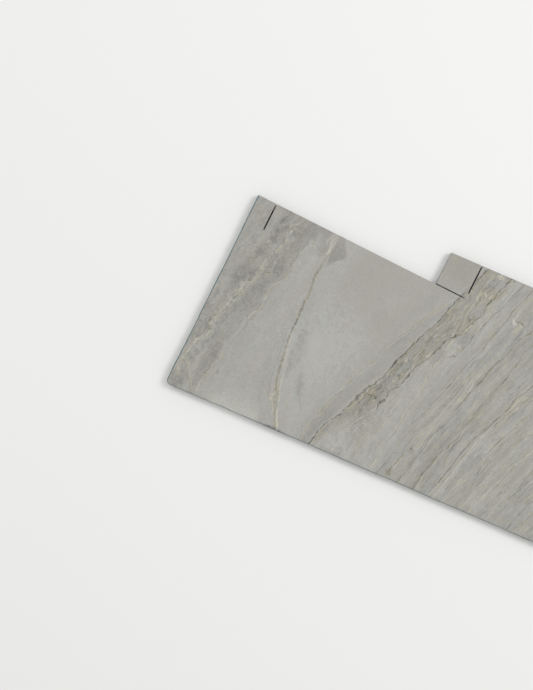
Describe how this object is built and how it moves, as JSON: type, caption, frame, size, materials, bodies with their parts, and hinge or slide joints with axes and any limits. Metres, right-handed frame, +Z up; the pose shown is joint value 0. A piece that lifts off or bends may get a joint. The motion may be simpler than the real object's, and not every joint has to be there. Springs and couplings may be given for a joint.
{
  "type": "stone slab remnant",
  "caption": "Polished stone slab offcut, flat and rectangular with a long sawn notch, a square tab and narrow saw overcuts.",
  "frame": {"origin": "under the middle of the slab's box, on its flat underside", "axes": "+X along the lower factory edge towards the sawn right end, +Y across the slab towards the tab, +Z up out of the polished face"},
  "size_m": [1.573, 0.8426, 0.03],
  "materials": {
    "polished_stone": "polished warm grey stone with clouded bands, fine gold and dark hairline veins, sawn edges and an unpolished underside"
  },
  "bodies": {
    "root": {"slab": "polished_stone"}
  },
  "joints": []
}
